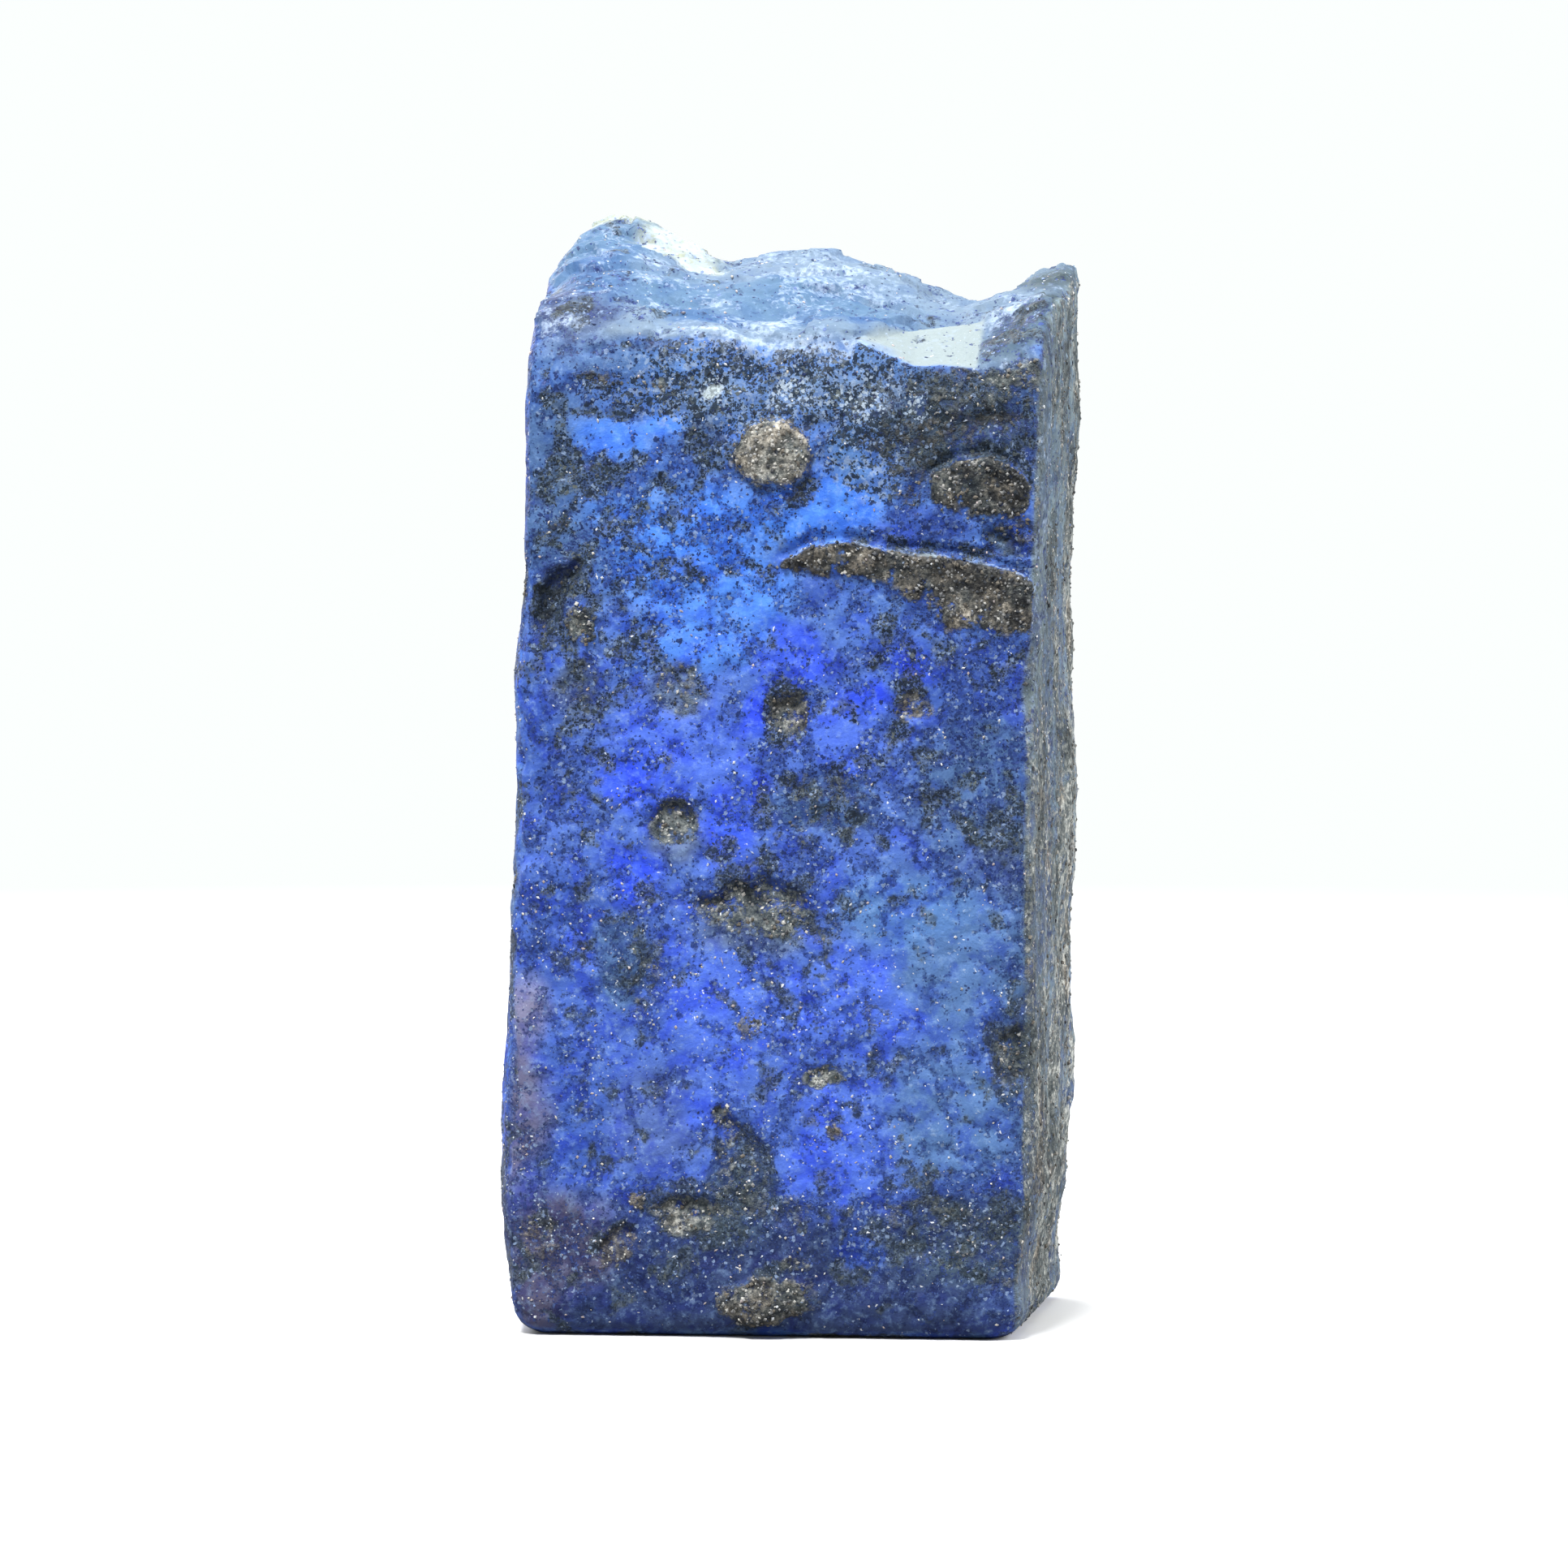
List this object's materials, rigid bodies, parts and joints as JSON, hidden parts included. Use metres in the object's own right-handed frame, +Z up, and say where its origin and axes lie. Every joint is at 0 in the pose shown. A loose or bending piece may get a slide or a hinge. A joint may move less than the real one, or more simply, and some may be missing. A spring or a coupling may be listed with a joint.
{
  "type": "rough sapphire",
  "caption": "Rough block of opaque blue gemstone, sawn on its walls and foot, broken across the top, speckled with dark grains. Stands on its flat foot.",
  "frame": {"origin": "middle of the flat foot, on the surface that the stone stands on", "axes": "+Z up, -Y out of the front face, +X to the right as seen from the front"},
  "size_m": [0.0298, 0.0208, 0.0588],
  "materials": {
    "stone": "rough sawn, matt, with dark grains and small glints"
  },
  "bodies": {
    "root": {"stone": "stone"}
  },
  "joints": []
}
